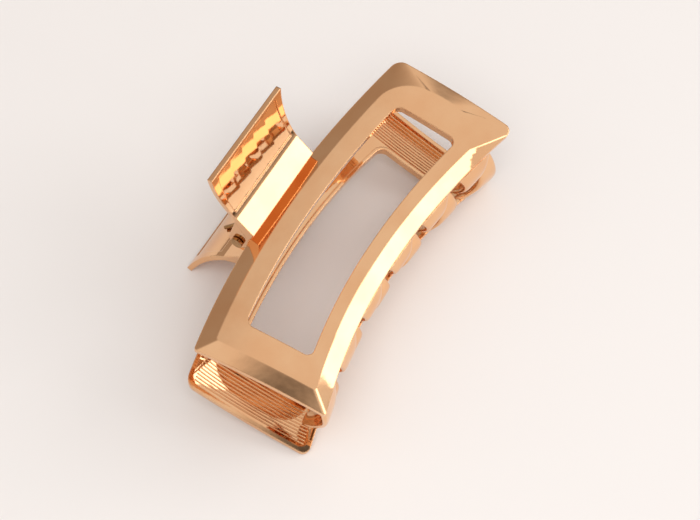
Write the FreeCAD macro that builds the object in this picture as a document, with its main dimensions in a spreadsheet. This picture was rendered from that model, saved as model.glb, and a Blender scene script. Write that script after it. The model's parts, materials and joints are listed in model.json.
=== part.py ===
"""Rectangular claw clip for hair: two identical mouldings on one hinge pin, closed by a spring.

Both jaws are the same moulding.  The moulding is built once, as the upper jaw, and the lower jaw is
that moulding given half a turn about the Y axis.  Its teeth stand half a pitch off the middle, so the
two rows of teeth interleave, and so do the two pairs of hinge lugs.

Clip frame, in mm: X runs along the hinge pin, +Y points to the hinge side and -Y to the teeth, and
Z = 0 is the plane between the closed jaws.  The finished clip is rolled about X until it lies on the
thumb tab and the face of its lower jaw, which puts it in the part's own frame: Z = 0 is the table.
"""
import FreeCAD, Part
import math
import os

import Sketcher
from FreeCAD import Placement, Rotation, Vector

X_AXIS = Vector(1, 0, 0)
Y_AXIS = Vector(0, 1, 0)

# ---------------------------------------------------------------------------------------------
# Driving sizes, in mm (ratios where the name says so)
# ---------------------------------------------------------------------------------------------
SIZES = [
    ("hinge_side_length", 110.0, "straight length between the jaw's ends, hinge side"),
    ("tooth_side_length", 105.2, "the same on the tooth side"),
    ("face_width", 39.4, "width of a jaw across its ends"),
    ("face_height", 16.9, "outer face above the middle plane, at the ends"),
    ("face_taper", 3.5, "how much higher the face stands on the tooth side"),
    ("face_crown", 1.1, "rise of the face across its width"),
    ("arch_tooth_side", 8.0, "bow of the long tooth-side edge towards the hinge"),
    ("arch_hinge_side", 6.2, "bow of the long hinge-side edge"),
    ("waist", 6.5, "how much closer to the middle plane the jaw is at half length"),
    ("bevel_width", 4.6, "sloping border round the face, in plan"),
    ("bevel_drop", 2.1, "height lost over the bevel"),
    ("edge_band", 1.4, "upright band below the bevel"),
    ("wall", 1.6, "thickness of the moulding"),
    ("lip_width", 1.2, "flat underside of the edge band"),
    ("inner_slope", 3.6, "plan width of the sloping border inside"),
    ("square_corner", 0.9, "plan radius of the corners at the square end"),
    ("round_corner", 2.8, "plan radius of the corners at the round end"),
    ("round_crease", 9.5, "radius of the crease at the round end's corners"),
    ("window_end", 13.0, "window to the jaw's end"),
    ("window_tooth_side", 8.6, "window to the tooth-side edge"),
    ("window_hinge_side", 10.5, "window to the hinge-side edge"),
    ("window_corner", 2.4, "corner radius of the window"),
    ("window_rim_width", 1.1, "raised border round the window, inside"),
    ("window_rim_height", 1.0, "how far that border stands into the hollow"),
    ("tooth_count", 6.0, "teeth on each jaw"),
    ("tooth_pitch", 17.5, "spacing of the teeth on one jaw"),
    ("tooth_root_width", 17.0, "flared root of a tooth, almost meeting the next"),
    ("tooth_waist_width", 7.8, "tooth width at half length"),
    ("tooth_tip_width", 5.0, "tooth width just before the rounded tip"),
    ("tooth_thickness", 2.2, "tooth thickness at the root"),
    ("tooth_reach", 1.45, "ratio of tooth length to the rim's height"),
    ("tooth_hook", 3.0, "how far the tip curls in"),
    ("tooth_bow", 2.8, "outward bow of a tooth at half length"),
    ("tooth_buried", 0.8, "how far a tooth's root rises into the rim"),
    ("tooth_inset", 0.3, "tooth's outer face behind the rim's"),
    ("tooth_end_margin", 0.7, "end tooth to the jaw's end"),
    ("tab_width", 35.6, "thumb tab, across its tip"),
    ("tab_root_width", 32.0, "thumb tab, across its root"),
    ("tab_wall", 1.8, "thickness of the thumb tab"),
    ("tab_tip_out", 40.2, "tip of the tab from the clip's centre line, along Y"),
    ("tab_tip_height", 28.6, "tip of the tab above the middle plane"),
    ("tab_recess", 0.3, "depth of the finger scoop and of the panel behind it"),
    ("tab_border", 1.2, "raised border round the scoop"),
    ("ridge_count", 5.0, "soft grip ridges in the finger scoop"),
    ("ridge_pitch", 5.8, "spacing of the ridges"),
    ("ridge_width", 5.6, "width of a ridge"),
    ("ridge_crown", 0.05, "height of a ridge"),
    ("ridge_root", 0.3, "how deep a ridge is rooted in the wall"),
    ("pin_out", 29.0, "hinge pin from the clip's centre line, along Y"),
    ("pin_radius", 1.0, "hinge pin"),
    ("pin_clearance", 0.06, "radial running clearance of the pin in its lugs"),
    ("pin_head_radius", 1.8, "formed head of the pin"),
    ("pin_head_length", 0.8, "length of a pin head"),
    ("lug_radius", 3.0, "round end of a hinge lug"),
    ("lug_width", 3.0, "width of a hinge lug along the pin"),
    ("outer_lug", 12.0, "inner side of the outer lug from the middle"),
    ("inner_lug", 8.5, "inner side of the inner lug from the middle"),
    ("lug_end_play", 0.3, "gap between a lug and the pin head"),
    ("wire_radius", 0.6, "spring wire"),
    ("coil_radius", 2.3, "spring coil, to the middle of the wire"),
    ("coil_turns", 5.0, "whole turns of the spring"),
    ("coil_pitch", 1.35, "advance of the coil in one turn"),
]

NODE_FOLDER = "parts"
STATIONS = 9            # cross-sections along a jaw
EDGE_POINTS = 9         # points that shape one bent edge
CORNER_POINTS = 5       # points that shape one bent corner
OVERRUN = 4.0           # how far the tools run past the moulding
MESH_TOLERANCE = 0.05   # used where a height is measured on a shape
ROLL_PRECISION = 1e-6   # radians, for the resting roll
STEEPEST_ROLL = 30.0    # degrees, the end of the range in which that roll is looked for
BEVEL_OVERRUN = 1.4     # the bevel's cutting skirt rises this many bevel heights
HOLLOW_OVERRUN = 1.6    # the same for the sloping border inside the hollow
BACK_OVERRUN = 1.0      # how far the panel's tool runs past the tab's back
CURL_POWER = 2.5        # how late along a tooth its curl sets in
LUG_WEB = ((31.0, 12.9), (26.0, 8.2))   # (Y, Z) of the corners where a lug's web ends in the tab
LEG_CONTACT = 0.42      # share of the scoop's length where a spring leg meets the tab
LEG_GAP = 0.05          # between a spring leg and the panel it bears on


def make_sheet(doc):
    """Write the driving sizes to a spreadsheet, one aliased cell each."""
    sheet = doc.addObject("Spreadsheet::Sheet", "sizes")
    for row, (name, value, meaning) in enumerate(SIZES, start=1):
        sheet.set("A%d" % row, name)
        sheet.set("B%d" % row, str(value))
        sheet.set("C%d" % row, meaning)
        sheet.setAlias("B%d" % row, name)
    doc.recompute()
    return sheet


# ---------------------------------------------------------------------------------------------
# From the flat pattern to the bent jaw
# ---------------------------------------------------------------------------------------------
class Jaw:
    """The curved shape of a jaw: maps a flat pattern onto it and cuts solids out of it."""

    def __init__(self, sheet):
        self.size = sheet
        self.half_length = (sheet.hinge_side_length + sheet.tooth_side_length) / 4
        self.half_width = sheet.face_width / 2
        self.rim_bottom = sheet.face_height - sheet.bevel_drop - sheet.edge_band
        self.rim_top = sheet.face_height - sheet.bevel_drop
        self.ceiling = sheet.face_height - sheet.wall

    def bend(self, along, across, height):
        """Point of the bent jaw for a point of the flat pattern."""
        size = self.size
        hinge_share = (across + self.half_width) / size.face_width
        tooth_share = 1 - hinge_share
        length = size.tooth_side_length * tooth_share + size.hinge_side_length * hinge_share
        arch = size.arch_tooth_side * tooth_share + size.arch_hinge_side * hinge_share
        middleness = 1 - (along / self.half_length) ** 2
        crown = size.face_crown * (1 - (2 * hinge_share - 1) ** 2)
        return Vector(
            along * length / (2 * self.half_length),
            across + arch * middleness,
            height - size.waist * middleness - size.face_taper * (hinge_share - 0.5) + crown,
        )

    def bent_edge(self, flat_points, height):
        """Smooth edge through the bent places of flat points."""
        curve = Part.BSplineCurve()
        curve.interpolate([self.bend(along, across, height) for along, across in flat_points])
        return curve.toShape()

    def contour(self, margins, height, square_radius, round_radius):
        """Closed bent outline: a rectangle with rounded corners, set in from the jaw's edges."""
        end, tooth_side, hinge_side = margins
        right = self.half_length - end
        left = -right
        low = -self.half_width + tooth_side
        high = self.half_width - hinge_side
        corners = [
            (right, low, -90, round_radius),
            (right, high, 0, round_radius),
            (left, high, 90, square_radius),
            (left, low, 180, square_radius),
        ]
        middle = ((left + right) / 2, (low + high) / 2)
        arcs = [corner_points(*corner, middle) for corner in corners]
        edges = []
        for number, arc in enumerate(arcs):
            following = arcs[(number + 1) % len(arcs)]
            edges.append(self.bent_edge(arc, height))
            edges.append(self.bent_edge(points_between(arc[-1], following[0]), height))
        return Part.Wire(edges)

    def slab(self, top, bottom):
        """Bent slab wider and longer than the jaw, between two heights of the flat pattern."""
        reach = self.half_length + OVERRUN
        side = self.half_width + OVERRUN
        wires = []
        for number in range(STATIONS):
            along = -reach + 2 * reach * number / (STATIONS - 1)
            line = points_between((along, -side), (along, side))
            upper = self.bent_edge(line, top)
            lower = self.bent_edge(line, bottom)
            tooth_end = Part.LineSegment(self.bend(along, -side, top), self.bend(along, -side, bottom))
            hinge_end = Part.LineSegment(self.bend(along, side, top), self.bend(along, side, bottom))
            wires.append(Part.Wire([upper, hinge_end.toShape(), lower, tooth_end.toShape()]))
        return Part.makeLoft(wires, True, False)

    def inside(self, solid, contours):
        """The larger of the two pieces into which the skirt through some contours splits a solid."""
        return max(two_pieces(solid, contours), key=lambda piece: piece.Volume)

    # -- the frame -----------------------------------------------------------------------------
    def outer_block(self):
        """Solid bounded by the face, the bevel and the upright edge band."""
        size = self.size
        crease_growth = size.round_crease - size.round_corner
        top_height = self.rim_top + size.bevel_drop * BEVEL_OVERRUN
        top_margin = size.bevel_width * BEVEL_OVERRUN
        contours = [
            self.contour([0, 0, 0], self.rim_bottom - OVERRUN, size.square_corner, size.round_corner),
            self.contour([0, 0, 0], self.rim_top, size.square_corner, size.round_corner),
            self.contour([top_margin] * 3, top_height, size.square_corner,
                         size.round_corner + crease_growth * BEVEL_OVERRUN),
        ]
        return self.inside(self.slab(size.face_height, self.rim_bottom), contours)

    def cavity_contours(self):
        """Skirt of the hollow underside: inner face of the lip, then the sloping border."""
        size = self.size
        lip = size.lip_width
        rise = self.ceiling - self.rim_bottom
        crease_growth = size.round_crease - size.round_corner
        return [
            self.contour([lip] * 3, self.rim_bottom - OVERRUN, size.square_corner, size.round_corner),
            self.contour([lip] * 3, self.rim_bottom, size.square_corner, size.round_corner),
            self.contour([lip + size.inner_slope * HOLLOW_OVERRUN] * 3,
                         self.rim_bottom + rise * HOLLOW_OVERRUN, size.square_corner,
                         size.round_corner + crease_growth * HOLLOW_OVERRUN),
        ]

    def frame(self):
        """The jaw's face: a bent shell with bevelled edges, and a window with a raised border."""
        size = self.size
        shell = self.outer_block()
        block = self.slab(self.ceiling, self.rim_bottom - OVERRUN / 2)
        hollow = self.inside(block, self.cavity_contours())
        shell = shell.cut(hollow)
        rim_slab = self.slab(self.ceiling + size.wall / 2, self.ceiling - size.window_rim_height)
        rim_block, _ = self.parted_at_window(rim_slab, size.window_rim_width)
        _, frame = self.parted_at_window(shell.fuse(rim_block), 0)
        return frame

    def parted_at_window(self, solid, spread):
        """The parts of a solid inside and outside the window's outline, grown by a spread."""
        size = self.size
        margins = [
            margin - spread
            for margin in (size.window_end, size.window_tooth_side, size.window_hinge_side)
        ]
        radius = size.window_corner + spread
        contours = [
            self.contour(margins, height, radius, radius)
            for height in (0, size.face_height + 2 * OVERRUN)
        ]
        return sorted(two_pieces(solid, contours), key=lambda piece: piece.BoundBox.DiagonalLength)

    # -- the teeth -----------------------------------------------------------------------------
    def tooth(self, along):
        """One tooth: lofted from a flared root under the tooth-side rim to a rounded tip."""
        size = self.size
        step = 0.5        # to either side of the root, to find the rim's direction
        plan_turn = 0.5   # share of that direction lost in plan by the tip
        root = self.bend(along, -self.half_width, self.rim_bottom)
        before = self.bend(along - step, -self.half_width, self.rim_bottom)
        after = self.bend(along + step, -self.half_width, self.rim_bottom)
        slope = (after - before).normalize()
        length = root.z * size.tooth_reach
        buried = size.tooth_buried
        shape = [  # share of the length, width, share of the thickness
            (0.00, size.tooth_root_width, 1.00),
            (0.08, size.tooth_root_width * 0.78, 1.00),
            (0.20, (size.tooth_root_width + 2 * size.tooth_waist_width) / 3, 0.98),
            (0.50, size.tooth_waist_width, 0.92),
            (0.75, (size.tooth_waist_width + size.tooth_tip_width) / 2, 0.84),
            (0.92, size.tooth_tip_width, 0.74),
            (0.985, size.tooth_tip_width * 0.66, 0.54),
            (1.00, size.tooth_tip_width * 0.30, 0.24),
        ]
        limit = size.tooth_side_length / 2 - size.tooth_end_margin
        wires = []
        for share, width, thinness in shape:
            thickness = size.tooth_thickness * thinness
            curl = size.tooth_hook * share ** CURL_POWER - size.tooth_bow * math.sin(math.pi * share)
            lengthwise = Vector(slope.x, slope.y * (1 - plan_turn * share), slope.z * (1 - share))
            lengthwise.normalize()
            centre = Vector(
                root.x,
                root.y + size.tooth_thickness / 2 + size.tooth_inset + curl,
                root.z + buried - (length + buried) * share,
            )
            low = max(root.x - width / 2, -limit)
            high = root.x + width / 2
            centre += lengthwise * ((low + high) / 2 - root.x)
            wires.append(rounded_section(centre, lengthwise, high - low, thickness))
        return Part.makeLoft(wires, True, False)


def two_pieces(solid, contours):
    """The pieces into which the skirt through some contours splits a solid; there must be two."""
    skirt = Part.makeLoft(contours, False, True)
    pieces = solid.generalFuse([skirt])[0].Solids
    if len(pieces) != 2:
        raise RuntimeError("a skirt made %d pieces: %s" % (len(pieces), [piece.Volume for piece in pieces]))
    return pieces


def corner_points(along, across, first_angle, radius, middle):
    """Points of a rounded corner of the flat pattern, counter-clockwise."""
    centre_along = along - math.copysign(radius, along - middle[0])
    centre_across = across - math.copysign(radius, across - middle[1])
    points = []
    for number in range(CORNER_POINTS):
        angle = math.radians(first_angle + 90.0 * number / (CORNER_POINTS - 1))
        points.append((centre_along + radius * math.cos(angle), centre_across + radius * math.sin(angle)))
    return points


def points_between(start, end):
    """Evenly spaced flat points from one place to another."""
    points = []
    for number in range(EDGE_POINTS):
        share = number / (EDGE_POINTS - 1)
        points.append((start[0] + (end[0] - start[0]) * share, start[1] + (end[1] - start[1]) * share))
    return points


def rounded_section(centre, lengthwise, width, thickness):
    """Closed rounded section, wide along one direction and thin across it."""
    across = Vector(-lengthwise.y, lengthwise.x, 0).normalize()
    squareness = 0.55
    count = 16
    points = []
    for number in range(count):
        angle = 2 * math.pi * number / count
        wide = math.copysign(abs(math.cos(angle)) ** squareness, math.cos(angle)) * width / 2
        thin = math.copysign(abs(math.sin(angle)) ** squareness, math.sin(angle)) * thickness / 2
        points.append(centre + lengthwise * wide + across * thin)
    curve = Part.BSplineCurve()
    curve.interpolate(points, PeriodicFlag=True)
    return Part.Wire([curve.toShape()])


# ---------------------------------------------------------------------------------------------
# The thumb tab: profile in the Y-Z plane, drawn as (Y, Z) pairs
# ---------------------------------------------------------------------------------------------
class TabProfile:
    """Outline of the thumb tab: a flat pad, a crease, then a scoop that sweeps up to the tip."""

    root_front = (24.6, 9.8)      # front edge of the pad, just above the jaw's face
    root_heel = (25.2, 6.6)       # inside the jaw's rim
    root_under = (26.7, 6.2)      # where the underside leaves the rim
    crease = (30.6, 13.6)         # pad meets scoop
    tip_thinning = 0.85           # wall at the tip, as a share of the wall at the crease
    lip = (0.7, -0.2)             # from the tip's upper edge to the place given by the tip sizes
    sag = (2.5, 5.0)              # the scoop's control point: in from the tip, up from the crease
    scoop = (0.10, 0.93)          # where the finger scoop starts and ends, as shares of the curve
    back = (0.12, 0.90)           # the same for the panel behind it
    ridges = (0.12, 0.91)         # the same for the grip ridges

    def __init__(self, sheet):
        self.wall = sheet.tab_wall
        self.tip_wall = sheet.tab_wall * self.tip_thinning
        self.back_depth = self.tip_wall - sheet.tab_recess / 2
        self.tip = (sheet.tab_tip_out - self.lip[0], sheet.tab_tip_height - self.lip[1])
        self.sag_point = (self.tip[0] - self.sag[0], self.crease[1] + self.sag[1])

    def scoop_point(self, share, depth):
        """Point on the scoop's curve, moved into the wall by a depth."""
        point = []
        slope = []
        for start, middle, end in zip(self.crease, self.sag_point, self.tip):
            point.append(start * (1 - share) ** 2 + 2 * middle * share * (1 - share) + end * share ** 2)
            slope.append((middle - start) * (1 - share) + (end - middle) * share)
        length = math.hypot(*slope)
        return (point[0] + depth * slope[1] / length, point[1] - depth * slope[0] / length)

    def scoop_curve(self, first, last, depth, end_depth=None):
        """Points along the scoop between two shares of its length."""
        count = 9
        end_depth = depth if end_depth is None else end_depth
        points = []
        for number in range(count):
            part = number / (count - 1)
            points.append(self.scoop_point(first + (last - first) * part, depth + (end_depth - depth) * part))
        return points

    def outline(self):
        """Edges of the whole tab, as lists of points (two points make a straight edge)."""
        upper = self.scoop_curve(0, 1, 0)
        under = self.scoop_curve(1, 0, self.tip_wall, self.wall)
        return [
            [self.root_heel, self.root_front],
            [self.root_front, self.crease],
            upper,
            [upper[-1], under[0]],
            under,
            [under[-1], self.root_under],
            [self.root_under, self.root_heel],
        ]

    def band(self, first, last, shallow, deep):
        """Edges of a strip that follows the scoop between two depths."""
        near = self.scoop_curve(first, last, shallow)
        far = self.scoop_curve(last, first, deep)
        return [near, [near[-1], far[0]], far, [far[-1], near[0]]]


def add_edges(sketch, edges):
    """Draw edges in a sketch: straight lines, or smooth curves through their points."""
    for points in edges:
        places = [Vector(point[0], point[1], 0) for point in points]
        if len(places) == 2:
            sketch.addGeometry(Part.LineSegment(places[0], places[1]), False)
        else:
            curve = Part.BSplineCurve()
            curve.interpolate(places)
            sketch.addGeometry(curve, False)


def plane_of(body, role):
    """One of a body's own origin planes."""
    return next(feature for feature in body.Origin.OriginFeatures if feature.Role == role)


def add_sketch(body, name, edges, role="YZ_Plane"):
    """Sketch on an origin plane of its body."""
    sketch = body.newObject("Sketcher::SketchObject", name)
    sketch.AttachmentSupport = [(plane_of(body, role), "")]
    sketch.MapMode = "FlatFace"
    add_edges(sketch, edges)
    return sketch


def add_extrusion(body, kind, sketch, length):
    """Pad or pocket reaching equally to both sides of its sketch; length is an expression."""
    feature = body.newObject("PartDesign::" + kind, sketch.Name + "_" + kind.lower())
    feature.Profile = sketch
    feature.SideType = "Symmetric"
    feature.setExpression("Length", length)
    return feature


def make_tab(doc, sheet):
    """Thumb tab with its tapered sides, finger scoop and hollowed back."""
    profile = TabProfile(sheet)
    body = doc.addObject("PartDesign::Body", "tab_body")
    outline = add_sketch(body, "tab_outline", profile.outline())
    add_extrusion(body, "Pad", outline, "sizes.tab_width")
    doc.recompute()
    half_tip = sheet.tab_width / 2
    half_root = sheet.tab_root_width / 2
    over = half_tip + OVERRUN
    top = sheet.tab_tip_height + OVERRUN
    for side in (-1, 1):
        corners = [(half_root, 0), (half_root, profile.crease[1]), (half_tip, sheet.tab_tip_height),
                   (half_tip, top), (over, top), (over, 0)]
        corners = [(side * along, height) for along, height in corners]
        edges = [[corner, corners[(number + 1) % len(corners)]] for number, corner in enumerate(corners)]
        name = "tab_side_%s" % ("right" if side > 0 else "left")
        trim = add_sketch(body, name, edges, "XZ_Plane")
        add_extrusion(body, "Pocket", trim, "4 * sizes.tab_tip_out")
        doc.recompute()
    scoop = add_sketch(body, "tab_scoop", profile.band(*profile.scoop, -OVERRUN, sheet.tab_recess))
    add_extrusion(body, "Pocket", scoop, "sizes.tab_root_width - 2 * sizes.tab_border")
    doc.recompute()
    past_wall = profile.back_depth + BACK_OVERRUN
    back = add_sketch(body, "tab_back", profile.band(*profile.back, profile.back_depth, past_wall))
    add_extrusion(body, "Pocket", back, "sizes.tab_root_width - 3 * sizes.tab_border")
    doc.recompute()
    return body


def ridge_section(profile, sheet, along):
    """Section of a ridge where it starts: a rounded crown on a foot that is rooted in the wall."""
    half = sheet.ridge_width / 2
    first = profile.ridges[0]
    floor = profile.scoop_point(first, sheet.tab_recess)
    crown = profile.scoop_point(first, sheet.tab_recess - sheet.ridge_crown)
    root = profile.scoop_point(first, sheet.tab_recess + sheet.ridge_root)
    left, right = Vector(along - half, *floor), Vector(along + half, *floor)
    root_left, root_right = Vector(along - half, *root), Vector(along + half, *root)
    return Part.Wire([
        Part.Arc(left, Vector(along, *crown), right).toShape(),
        Part.makeLine(right, root_right),
        Part.makeLine(root_right, root_left),
        Part.makeLine(root_left, left),
    ])


def make_ridges(doc, sheet):
    """Soft grip ridges that follow the floor of the scoop."""
    profile = TabProfile(sheet)
    count = int(sheet.ridge_count)
    solids = []
    for number in range(count):
        along = (number - (count - 1) / 2) * sheet.ridge_pitch
        path = Part.BSplineCurve()
        places = profile.scoop_curve(*profile.ridges, sheet.tab_recess)
        path.interpolate([Vector(along, *place) for place in places])
        section = ridge_section(profile, sheet, along)
        solids.append(Part.Wire([path.toShape()]).makePipeShell([section], True, False))
    least = sheet.ridge_width * sheet.ridge_root
    if any(not solid.isValid() or solid.Volume < least for solid in solids):
        raise RuntimeError("a grip ridge is missing or unsound")
    ridges = doc.addObject("Part::Feature", "tab_ridges")
    ridges.Shape = Part.makeCompound(solids)
    return ridges


# ---------------------------------------------------------------------------------------------
# Hinge: lugs, pin and spring
# ---------------------------------------------------------------------------------------------
def make_lug(doc, sheet, name, start):
    """Hinge lug: a round end on the pin and a web up into the tab; start is an expression."""
    body = doc.addObject("PartDesign::Body", name)
    sketch = body.newObject("Sketcher::SketchObject", name + "_outline")
    sketch.AttachmentSupport = [(plane_of(body, "YZ_Plane"), "")]
    sketch.MapMode = "FlatFace"
    sketch.setExpression("AttachmentOffset.Base.z", start)
    pin = Vector(sheet.pin_out, 0, 0)
    left = pin - Vector(sheet.lug_radius, 0, 0)
    right = pin + Vector(sheet.lug_radius, 0, 0)
    bottom = pin - Vector(0, sheet.lug_radius, 0)
    top_right, top_left = (Vector(*corner, 0) for corner in LUG_WEB)
    sketch.addGeometry(Part.Arc(left, bottom, right), False)
    sketch.addGeometry(Part.LineSegment(right, top_right), False)
    sketch.addGeometry(Part.LineSegment(top_right, top_left), False)
    sketch.addGeometry(Part.LineSegment(top_left, left), False)
    bore_radius = sheet.pin_radius + sheet.pin_clearance
    bore = sketch.addGeometry(Part.Circle(pin, Vector(0, 0, 1), bore_radius), False)
    size = sketch.addConstraint(Sketcher.Constraint("Radius", bore, bore_radius))
    sketch.setExpression("Constraints[%d]" % size, "sizes.pin_radius + sizes.pin_clearance")
    pad = body.newObject("PartDesign::Pad", name + "_pad")
    pad.Profile = sketch
    pad.setExpression("Length", "sizes.lug_width")
    doc.recompute()
    return body


def make_pin(doc, sheet):
    """Hinge pin with a formed head at each end."""
    turn = Rotation(Y_AXIS, 90)
    reach = "(sizes.outer_lug + sizes.lug_width + sizes.lug_end_play)"
    parts = []
    for name, radius, length, start in (
        ("pin_shaft", "sizes.pin_radius", "2 * " + reach, "-" + reach),
        ("pin_near_head", "sizes.pin_head_radius", "sizes.pin_head_length",
         "-%s - sizes.pin_head_length" % reach),
        ("pin_far_head", "sizes.pin_head_radius", "sizes.pin_head_length", reach),
    ):
        cylinder = doc.addObject("Part::Cylinder", name)
        cylinder.Placement = Placement(Vector(), turn)
        cylinder.setExpression("Radius", radius)
        cylinder.setExpression("Height", length)
        cylinder.setExpression("Placement.Base.x", start)
        cylinder.setExpression("Placement.Base.y", "sizes.pin_out")
        parts.append(cylinder)
    pin = doc.addObject("Part::MultiFuse", "pin_solid")
    pin.Shapes = parts
    doc.recompute()
    return pin


def make_spring(doc, sheet):
    """Torsion spring: a coil round the pin, and one straight leg under each thumb tab."""
    profile = TabProfile(sheet)
    contact = profile.scoop_point(LEG_CONTACT, profile.back_depth + sheet.wire_radius + LEG_GAP)
    out = contact[0] - sheet.pin_out
    leg_distance = math.hypot(out, contact[1])
    start_angle = math.atan2(contact[1], out) + math.acos(sheet.coil_radius / leg_distance)
    turning = 2 * math.pi * (sheet.coil_turns + 1) - 2 * start_angle
    coil_length = sheet.coil_pitch * turning / (2 * math.pi)
    outward = Vector(0, math.cos(start_angle), math.sin(start_angle))
    along_leg = Vector(0, math.sin(start_angle), -math.cos(start_angle))
    coil_end = Vector(coil_length / 2, sheet.pin_out, 0)
    coil = Part.makeHelix(sheet.coil_pitch, coil_length, sheet.coil_radius, 0, True)
    coil.Placement = Placement(coil_end, Rotation(outward, along_leg, X_AXIS * -1, "XYZ"))
    start = coil_end + outward * sheet.coil_radius
    lean = sheet.coil_pitch / (2 * math.pi * sheet.coil_radius)
    leg_length = math.sqrt(leg_distance ** 2 - sheet.coil_radius ** 2)
    tip = start + (along_leg + X_AXIS * lean) * leg_length
    other_start, other_tip = (Vector(-place.x, place.y, -place.z) for place in (start, tip))
    legs = [Part.makeLine(tip, start), Part.makeLine(other_start, other_tip)]
    path = Part.Wire([legs[0]] + coil.Edges + [legs[1]])
    ring = Part.Wire([Part.makeCircle(sheet.wire_radius, tip, start - tip)])
    spring = doc.addObject("Part::Feature", "spring_solid")
    spring.Shape = path.makePipeShell([ring], True, True)
    return spring


# ---------------------------------------------------------------------------------------------
# Assembly
# ---------------------------------------------------------------------------------------------
def hold(doc, shape, name):
    """Keep a shape in the document as an object of its own."""
    feature = doc.addObject("Part::Feature", name)
    feature.Shape = shape
    return feature


def cut_away(doc, base, tools, name):
    """The base without the tools, as nested cuts."""
    for number, tool in enumerate(tools):
        cut = doc.addObject("Part::Cut", "%s_cut_%d" % (name, number))
        cut.Base = base
        cut.Tool = tool
        base = cut
    doc.recompute()
    return base


def make_moulding(doc, sheet):
    """Regions of one jaw moulding, by name: they touch but don't overlap."""
    jaw = Jaw(sheet)
    frame = hold(doc, jaw.frame(), "frame_solid")
    regions = {"frame": frame}
    first = -(sheet.tooth_count - 0.5) * sheet.tooth_pitch / 2
    for number in range(int(sheet.tooth_count)):
        name = "tooth_%d" % (number + 1)
        tooth = jaw.tooth(first + number * sheet.tooth_pitch)
        regions[name] = hold(doc, tooth.cut(frame.Shape), name + "_solid")
    full_tab = doc.addObject("Part::MultiFuse", "tab_with_ridges")
    full_tab.Shapes = [make_tab(doc, sheet), make_ridges(doc, sheet)]
    tab = cut_away(doc, full_tab, [frame], "thumb_tab")
    regions["thumb_tab"] = tab
    for name, start in (
        ("outer_lug", "-sizes.outer_lug - sizes.lug_width"),
        ("inner_lug", "sizes.inner_lug"),
    ):
        lug = make_lug(doc, sheet, name + "_body", start)
        regions[name] = cut_away(doc, lug, [tab, frame], name)
    return regions


def place_node(doc, source, label, placement):
    """A node: a copy of a finished solid with the node's own label and placement."""
    solids = source.Shape.Solids
    if len(solids) != 1:
        raise RuntimeError("%s came out as %d solids" % (label, len(solids)))
    node = doc.addObject("Part::Feature", label)
    node.Label = label
    node.Shape = solids[0]
    node.Placement = placement
    return node


def mesh_points(shape):
    """Points spread over a shape's surface."""
    return shape.tessellate(MESH_TOLERANCE)[0]


def lowest(points, roll):
    """Lowest height of some points once the clip is rolled about X."""
    return min(point.y * math.sin(roll) + point.z * math.cos(roll) for point in points)


def resting_roll(tab, frame):
    """Roll about X at which the lower tab and the lower face touch the table together."""
    low, high = 0.0, math.radians(STEEPEST_ROLL)
    while high - low > ROLL_PRECISION:
        roll = (low + high) / 2
        if lowest(tab, roll) < lowest(frame, roll):
            low = roll
        else:
            high = roll
    return roll


def settle(nodes):
    """Lay the clip on the table: roll it, then centre it over the origin."""
    roll = resting_roll(
        mesh_points(nodes["lower_thumb_tab"].Shape), mesh_points(nodes["lower_frame"].Shape))
    turn = Placement(Vector(), Rotation(X_AXIS, math.degrees(roll)))
    for node in nodes.values():
        node.Placement = turn.multiply(node.Placement)
    points = [point for node in nodes.values() for point in mesh_points(node.Shape)]
    shift = Vector(
        -(min(point.x for point in points) + max(point.x for point in points)) / 2,
        -(min(point.y for point in points) + max(point.y for point in points)) / 2,
        -min(point.z for point in points),
    )
    for node in nodes.values():
        node.Placement = Placement(shift, Rotation()).multiply(node.Placement)
    return roll, shift


def check(doc, nodes):
    """Stop with a message if any object failed or any node isn't one sound solid."""
    for thing in doc.Objects:
        if "Invalid" in thing.State or "Error" in thing.State:
            raise RuntimeError("%s failed: %s" % (thing.Name, thing.State))
    for name, node in nodes.items():
        if node.Shape.isNull() or not node.Shape.isValid() or len(node.Shape.Solids) != 1:
            raise RuntimeError("%s is not one sound solid" % name)


def main():
    """Build the clip and write one STEP file for each node."""
    doc = FreeCAD.newDocument("claw_clip")
    sheet = make_sheet(doc)
    regions = make_moulding(doc, sheet)
    nodes = {}
    for jaw_name, half_turn in (("upper", 0), ("lower", 180)):
        placement = Placement(Vector(), Rotation(Y_AXIS, half_turn))
        for region, source in regions.items():
            label = "%s_%s" % (jaw_name, region)
            nodes[label] = place_node(doc, source, label, placement)
    nodes["hinge_pin"] = place_node(doc, make_pin(doc, sheet), "hinge_pin", Placement())
    nodes["torsion_spring"] = place_node(doc, make_spring(doc, sheet), "torsion_spring", Placement())
    roll, shift = settle(nodes)
    doc.recompute()
    check(doc, nodes)
    os.makedirs(NODE_FOLDER, exist_ok=True)
    for label, node in nodes.items():
        node.Shape.exportStep("%s/%s.step" % (NODE_FOLDER, label))
    pin_place = nodes["hinge_pin"].Placement.multVec(Vector(0, sheet.pin_out, 0))
    print("roll %.3f degrees, shift %s" % (math.degrees(roll), shift))
    print("pin at %s, %d nodes" % (pin_place, len(nodes)))


main()
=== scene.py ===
"""Looks of the gold claw clip: plating, steel, the ribs inside the jaws, and a plain studio."""
import json
import math

import bpy
from mathutils import Matrix, Vector
from mathutils.bvhtree import BVHTree


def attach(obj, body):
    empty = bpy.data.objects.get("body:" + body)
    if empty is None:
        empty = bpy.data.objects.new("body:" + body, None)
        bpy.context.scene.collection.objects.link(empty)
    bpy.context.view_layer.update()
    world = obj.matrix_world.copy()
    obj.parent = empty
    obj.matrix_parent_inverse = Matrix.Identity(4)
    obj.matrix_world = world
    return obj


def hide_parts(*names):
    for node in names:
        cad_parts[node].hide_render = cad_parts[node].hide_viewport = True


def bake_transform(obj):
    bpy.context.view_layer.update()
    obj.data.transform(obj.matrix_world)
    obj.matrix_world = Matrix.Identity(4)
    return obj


MM = 0.001

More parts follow.
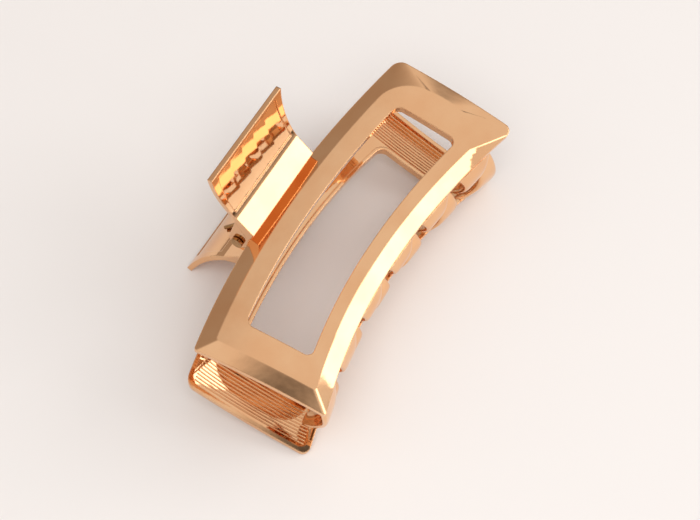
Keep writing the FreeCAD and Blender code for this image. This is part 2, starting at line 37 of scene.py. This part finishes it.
# The jaw's flat pattern and how it is bent, in mm, as in the CAD part
HINGE_SIDE_LENGTH = 110.0
TOOTH_SIDE_LENGTH = 105.2
FACE_WIDTH = 39.4
FACE_TAPER = 3.5
FACE_CROWN = 1.1
ARCH_TOOTH_SIDE = 8.0
ARCH_HINGE_SIDE = 6.2
WAIST = 6.5
WINDOW_END = 13.0
WINDOW_RIM = 1.1         # raised border round the window
HALF_LENGTH = (HINGE_SIDE_LENGTH + TOOTH_SIDE_LENGTH) / 4
HALF_WIDTH = FACE_WIDTH / 2
PIN_OUT = 29.0
RESTING_ROLL = 11.803    # degrees about X

# The ribs, in mm
RIB_BORDER = 2.3         # smooth border between the ribbed panel and the jaw's edge
RIB_PITCH = 0.95
RIB_WIDTH = 0.5
RIB_HEIGHT = 0.3
RIB_SUNK = 0.1           # how far a rib's foot lies inside the wall
RIB_STEP = 0.8           # spacing of the sections along a rib
RIB_PROBE = 7.0          # height in the hollow from which the wall above is found
RIB_SIDES = 6            # faces round the crown of a rib

# The view
VIEW_AZIMUTH = 58.45
VIEW_ELEVATION = 58.82
VIEW_ROLL = -1.45
VIEW_DISTANCE = 0.6
LENS = 109.4
SHIFT_RIGHT = -0.0040
SHIFT_UP = -0.0070

# The plating: tones, roughness range, noise scales, and bump heights in metres
GOLD = (0.87, 0.53, 0.29, 1)
GOLD_DEEP = (0.84, 0.48, 0.25, 1)
GOLD_ROUGHNESS = (0.02, 0.07)
TONE_SCALE = 90
SMEAR_SCALE = 140
RIPPLE_SCALE = 220
RIPPLE_HEIGHT = 0.00002
POLISH_SCALE = 900
POLISH_HEIGHT = 0.000001
EDGE_RADIUS = 0.0005     # metres: how softly the plating rounds the moulding's edges
EDGE_SAMPLES = 4

# The pin and the spring wire
STEEL = (0.57, 0.32, 0.13, 1)
WIRE = (0.48, 0.26, 0.10, 1)
STEEL_ROUGHNESS = 0.22
WIRE_ROUGHNESS = 0.30
ROUGHNESS_SPREAD = 0.15
FILM_SCALE = 400
FILM_TONE = 0.7          # tone of the film as a share of the steel's
MARK_SCALE = 2500
MARK_HEIGHT = 0.000006

# The table
PAPER = (0.80, 0.775, 0.755, 1)
PAPER_ROUGHNESS = (0.5, 0.65)
PAPER_SCALE = 60
TABLE_HALF = 2.0         # metres

NOISE_RANGE = (0.35, 0.65)   # most of a noise's values lie between these two

# The studio, seen in the plating: where it lies, its inner and outer half angle, and its tone
SKY_TONE = (0.88, 0.84, 0.82, 1)
SKY_PATCHES = [
    ((-0.30, -0.12, 0.95), 8, 20, (0.03, 0.02, 0.015, 1)),   # dark shade above the camera
    ((0.30, 0.80, 0.45), 20, 50, (0.42, 0.36, 0.32, 1)),     # dim back wall
    ((0.95, 0.15, 0.22), 8, 24, (0.05, 0.035, 0.03, 1)),     # dark far corner
]
HORIZON_TONE = (0.06, 0.045, 0.04, 1)
HORIZON_HEIGHT = 0.22    # sine of the height at which the dark room beyond the table ends

# Soft lights: direction from the clip, distance, size in metres, power in watts, mirrored or not
LIGHTS = [
    ("key_light", (0.44, -0.74, 0.47), 1.4, (1.15, 0.95), 7.2, True),
    ("fill_light", (-0.42, -0.24, 0.86), 1.5, (1.0, 1.0), 9.5, False),
]


# ---------------------------------------------------------------------------------------------
# Material nodes
# ---------------------------------------------------------------------------------------------
def add_node(tree, kind, **values):
    """A node with some of its inputs set; underscores stand for spaces in their names."""
    node = tree.nodes.new(kind)
    for name, value in values.items():
        node.inputs[name.replace("_", " ")].default_value = value
    return node


def new_material(name):
    """A material with an empty principled surface; returns it, its tree and the surface."""
    material = bpy.data.materials.new(name)
    material.use_nodes = True
    tree = material.node_tree
    return material, tree, tree.nodes["Principled BSDF"]


def noise(tree, scale, detail, stretch=(1, 1, 1)):
    """Noise fixed to the piece, stretched along its axes; returns the value's socket."""
    place = tree.nodes.new("ShaderNodeTexCoord")
    mapping = add_node(tree, "ShaderNodeMapping", Scale=stretch)
    texture = add_node(tree, "ShaderNodeTexNoise", Scale=scale, Detail=detail)
    tree.links.new(place.outputs["Object"], mapping.inputs["Vector"])
    tree.links.new(mapping.outputs["Vector"], texture.inputs["Vector"])
    return texture.outputs["Fac"]


def ranged(tree, source, low, high):
    """A noise value spread over a range."""
    spread = add_node(tree, "ShaderNodeMapRange", From_Min=NOISE_RANGE[0],
                      From_Max=NOISE_RANGE[1], To_Min=low, To_Max=high)
    tree.links.new(source, spread.inputs["Value"])
    return spread.outputs["Result"]


def mixed(tree, share, first, second):
    """Two colours mixed by a value."""
    mix = tree.nodes.new("ShaderNodeMixRGB")
    mix.inputs["Color1"].default_value = first
    mix.inputs["Color2"].default_value = second
    tree.links.new(share, mix.inputs["Fac"])
    return mix.outputs["Color"]


def bumped(tree, surface, layers, normal=None):
    """Stack bumps of the given heights, in metres, onto a surface."""
    for source, height in layers:
        bump = add_node(tree, "ShaderNodeBump", Strength=1.0, Distance=height)
        tree.links.new(source, bump.inputs["Height"])
        if normal is not None:
            tree.links.new(normal, bump.inputs["Normal"])
        normal = bump.outputs["Normal"]
    tree.links.new(normal, surface.inputs["Normal"])


def gold_plating():
    """Mirror-bright plating: faint smears, polishing marks and a slight moulded ripple."""
    material, tree, surface = new_material("gold_plating")
    surface.inputs["Metallic"].default_value = 1
    tones = ranged(tree, noise(tree, TONE_SCALE, 3), 0, 1)
    colour = mixed(tree, tones, GOLD, GOLD_DEEP)
    tree.links.new(colour, surface.inputs["Base Color"])
    smears = ranged(tree, noise(tree, SMEAR_SCALE, 5, (1, 2.5, 1)), *GOLD_ROUGHNESS)
    tree.links.new(smears, surface.inputs["Roughness"])
    ripple = noise(tree, RIPPLE_SCALE, 2)
    polishing = noise(tree, POLISH_SCALE, 4, (0.3, 4, 4))
    rounded = add_node(tree, "ShaderNodeBevel", Radius=EDGE_RADIUS)
    rounded.samples = EDGE_SAMPLES
    layers = [(ripple, RIPPLE_HEIGHT), (polishing, POLISH_HEIGHT)]
    bumped(tree, surface, layers, rounded.outputs["Normal"])
    return material


def drawn_steel(name, colour, roughness):
    """Steel with drawing marks along X and a patchy dull film."""
    material, tree, surface = new_material(name)
    surface.inputs["Metallic"].default_value = 1
    darker = tuple(FILM_TONE * channel for channel in colour[:3]) + (1,)
    film = ranged(tree, noise(tree, FILM_SCALE, 4), 0, 1)
    tree.links.new(mixed(tree, film, colour, darker), surface.inputs["Base Color"])
    marks = noise(tree, MARK_SCALE, 3, (0.05, 1, 1))
    dulled = ranged(tree, marks, roughness, roughness + ROUGHNESS_SPREAD)
    tree.links.new(dulled, surface.inputs["Roughness"])
    bumped(tree, surface, [(marks, MARK_HEIGHT)])
    return material


def paper():
    """The pale table."""
    material, tree, surface = new_material("pale_table")
    surface.inputs["Base Color"].default_value = PAPER
    grain = ranged(tree, noise(tree, PAPER_SCALE, 3), *PAPER_ROUGHNESS)
    tree.links.new(grain, surface.inputs["Roughness"])
    return material


# ---------------------------------------------------------------------------------------------
# Ribs inside the jaws
# ---------------------------------------------------------------------------------------------
def bend(along, across, height):
    """Point of the bent upper jaw, in mm, for a point of its flat pattern."""
    hinge_share = (across + HALF_WIDTH) / FACE_WIDTH
    tooth_share = 1 - hinge_share
    length = TOOTH_SIDE_LENGTH * tooth_share + HINGE_SIDE_LENGTH * hinge_share
    arch = ARCH_TOOTH_SIDE * tooth_share + ARCH_HINGE_SIDE * hinge_share
    middleness = 1 - (along / HALF_LENGTH) ** 2
    crown = FACE_CROWN * (1 - (2 * hinge_share - 1) ** 2)
    return Vector((
        along * length / (2 * HALF_LENGTH),
        across + arch * middleness,
        height - WAIST * middleness - FACE_TAPER * (hinge_share - 0.5) + crown,
    ))


def rib_section(along, across, to_row, wall):
    """Points round a rib: its foot is in the wall above and its crown points into the jaw."""
    up = (to_row.to_3x3() @ Vector((0, 0, 1))).normalized()
    middle = to_row @ bend(along, across, RIB_PROBE)
    found = wall.ray_cast(middle, up)[0]
    if found is None:
        return None
    depth_to_wall = (found - middle).length / MM
    points = []
    for number in range(RIB_SIDES + 1):
        angle = math.pi * number / RIB_SIDES
        side = along + RIB_WIDTH / 2 * math.cos(angle)
        drop = (RIB_HEIGHT + RIB_SUNK) * math.sin(angle) - RIB_SUNK
        points.append(to_row @ bend(side, across, RIB_PROBE + depth_to_wall - drop))
    return points


def rib_places():
    """Places along the jaw of the ribs, in the panels between the window and the two ends."""
    first = HALF_LENGTH - WINDOW_END + WINDOW_RIM + RIB_WIDTH
    last = HALF_LENGTH - RIB_BORDER
    count = int((last - first) / RIB_PITCH) + 1
    places = [last - number * RIB_PITCH for number in range(count)]
    return places + [-place for place in places]


def add_ribs(name, to_row, body, wall_node, material):
    """The ribs of one jaw as a single piece, laid on the inner face of its frame."""
    wall = BVHTree.FromPolygons(
        [vertex.co for vertex in wall_node.data.vertices],
        [polygon.vertices for polygon in wall_node.data.polygons],
    )
    reach = HALF_WIDTH - RIB_BORDER
    steps = round(2 * reach / RIB_STEP)
    ring = RIB_SIDES + 1
    points = []
    faces = []
    for along in rib_places():
        sections = [
            rib_section(along, -reach + 2 * reach * step / steps, to_row, wall)
            for step in range(steps + 1)
        ]
        sections = [section for section in sections if section is not None]
        base = len(points)
        for section in sections:
            points.extend(section)
        last = base + (len(sections) - 1) * ring
        for start in range(base, last, ring):
            for side in range(ring):
                following = start + (side + 1) % ring
                faces.append((start + side, following, following + ring, start + side + ring))
        faces.append(tuple(range(base + ring - 1, base - 1, -1)))
        faces.append(tuple(range(last, last + ring)))
    mesh = bpy.data.meshes.new(name)
    mesh.from_pydata(points, [], faces)
    mesh.materials.append(material)
    mesh.validate()
    ribs = bpy.data.objects.new(name, mesh)
    bpy.context.scene.collection.objects.link(ribs)
    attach(ribs, body)


def clip_to_row(pin):
    """Matrix from the clip's own frame in mm to the row frame in metres."""
    turn = Matrix.Rotation(math.radians(RESTING_ROLL), 4, "X")
    shift = Vector(pin) - turn @ Vector((0, PIN_OUT * MM, 0))
    return Matrix.Translation(shift) @ turn @ Matrix.Scale(MM, 4)


# ---------------------------------------------------------------------------------------------
# Spring
# ---------------------------------------------------------------------------------------------
def add_spring(source, material):
    """A copy of the spring in the wire's finish, baked where it stands; the CAD spring is
    hidden.
    """
    spring = bpy.data.objects.new("spring_wire", source.data.copy())
    bpy.context.scene.collection.objects.link(spring)
    spring.data.materials.clear()
    spring.data.materials.append(material)
    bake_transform(spring)
    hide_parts("torsion_spring")


# ---------------------------------------------------------------------------------------------
# Studio
# ---------------------------------------------------------------------------------------------
def add_world():
    """Soft surroundings: a pale sky with darker patches that the plating mirrors."""
    world = bpy.data.worlds.new("studio")
    bpy.context.scene.world = world
    world.use_nodes = True
    tree = world.node_tree
    place = tree.nodes.new("ShaderNodeTexCoord")
    colour = add_node(tree, "ShaderNodeRGB").outputs["Color"]
    colour.default_value = SKY_TONE
    zones = [((0, 0, 1), HORIZON_HEIGHT, 0, HORIZON_TONE)]
    for direction, inner, outer, tone in SKY_PATCHES:
        start, full = (math.cos(math.radians(angle)) for angle in (outer, inner))
        zones.append((direction, start, full, tone))
    for direction, start, full, tone in zones:
        facing = tree.nodes.new("ShaderNodeVectorMath")
        facing.operation = "DOT_PRODUCT"
        facing.inputs[1].default_value = Vector(direction).normalized()
        tree.links.new(place.outputs["Generated"], facing.inputs[0])
        edge = add_node(tree, "ShaderNodeMapRange", From_Min=start, From_Max=full,
                        To_Min=0, To_Max=1)
        edge.interpolation_type = "SMOOTHSTEP"
        tree.links.new(facing.outputs["Value"], edge.inputs["Value"])
        mix = tree.nodes.new("ShaderNodeMixRGB")
        mix.inputs["Color2"].default_value = tone
        tree.links.new(edge.outputs["Result"], mix.inputs["Fac"])
        tree.links.new(colour, mix.inputs["Color1"])
        colour = mix.outputs["Color"]
    tree.links.new(colour, tree.nodes["Background"].inputs["Color"])


def add_softbox(name, direction, distance, size, power, mirrored, target):
    """A rectangular soft light that faces the clip."""
    light = bpy.data.lights.new(name, "AREA")
    light.shape = "RECTANGLE"
    light.size, light.size_y = size
    light.energy = power
    lamp = bpy.data.objects.new(name, light)
    lamp.location = target + Vector(direction).normalized() * distance
    lamp.visible_glossy = mirrored
    lamp.rotation_euler = (target - lamp.location).to_track_quat("-Z", "Y").to_euler()
    bpy.context.scene.collection.objects.link(lamp)


def add_floor():
    """The table under the clip."""
    signs = [(-1, -1), (1, -1), (1, 1), (-1, 1)]
    corners = [(TABLE_HALF * along, TABLE_HALF * across, 0) for along, across in signs]
    mesh = bpy.data.meshes.new("table")
    mesh.from_pydata(corners, [], [(0, 1, 2, 3)])
    mesh.materials.append(paper())
    floor = bpy.data.objects.new("table", mesh)
    bpy.context.scene.collection.objects.link(floor)


def add_camera(target):
    """The camera, looking down at the clip from its front left."""
    azimuth = math.radians(VIEW_AZIMUTH)
    elevation = math.radians(VIEW_ELEVATION)
    looking = Vector((
        math.sin(azimuth) * math.cos(elevation),
        math.cos(azimuth) * math.cos(elevation),
        -math.sin(elevation),
    ))
    camera = bpy.data.cameras.new("camera")
    camera.lens = LENS
    camera.shift_x = SHIFT_RIGHT
    camera.shift_y = SHIFT_UP
    camera.dof.use_dof = False
    seat = bpy.data.objects.new("camera", camera)
    aim = looking.to_track_quat("-Z", "Y").to_matrix().to_4x4()
    roll = Matrix.Rotation(math.radians(VIEW_ROLL), 4, "Z")
    seat.matrix_world = Matrix.Translation(target - looking * VIEW_DISTANCE) @ aim @ roll
    bpy.context.scene.collection.objects.link(seat)
    bpy.context.scene.camera = seat


# ---------------------------------------------------------------------------------------------
# The scene
# ---------------------------------------------------------------------------------------------
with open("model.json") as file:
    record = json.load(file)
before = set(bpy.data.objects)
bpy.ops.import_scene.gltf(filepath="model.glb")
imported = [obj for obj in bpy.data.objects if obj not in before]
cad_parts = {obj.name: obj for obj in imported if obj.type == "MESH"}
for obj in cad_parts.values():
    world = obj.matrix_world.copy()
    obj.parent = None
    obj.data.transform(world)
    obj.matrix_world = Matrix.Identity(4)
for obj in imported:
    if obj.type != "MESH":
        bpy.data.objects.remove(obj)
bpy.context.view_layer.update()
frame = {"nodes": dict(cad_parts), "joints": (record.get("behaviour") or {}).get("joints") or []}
nodes = frame["nodes"]
pin_place = frame["joints"][0]["pos_m"]

plating = gold_plating()
finishes = {
    "hinge_pin": drawn_steel("pin_steel", STEEL, STEEL_ROUGHNESS),
    "torsion_spring": drawn_steel("spring_steel", WIRE, WIRE_ROUGHNESS),
}
for node_name, node in nodes.items():
    node.data.materials.clear()
    node.data.materials.append(finishes.get(node_name, plating))

upper = clip_to_row(pin_place)
lower = upper @ Matrix.Rotation(math.pi, 4, "Y")
add_ribs("upper_ribs", upper, "upper_jaw", nodes["upper_frame"], plating)
add_ribs("lower_ribs", lower, "lower_jaw", nodes["lower_frame"], plating)
add_spring(nodes["torsion_spring"], finishes["torsion_spring"])

clip_middle = upper @ Vector((0, 0, 0))
bpy.context.scene.view_settings.view_transform = "Standard"
add_world()
for light_settings in LIGHTS:
    add_softbox(*light_settings, clip_middle)
add_floor()
add_camera(clip_middle)
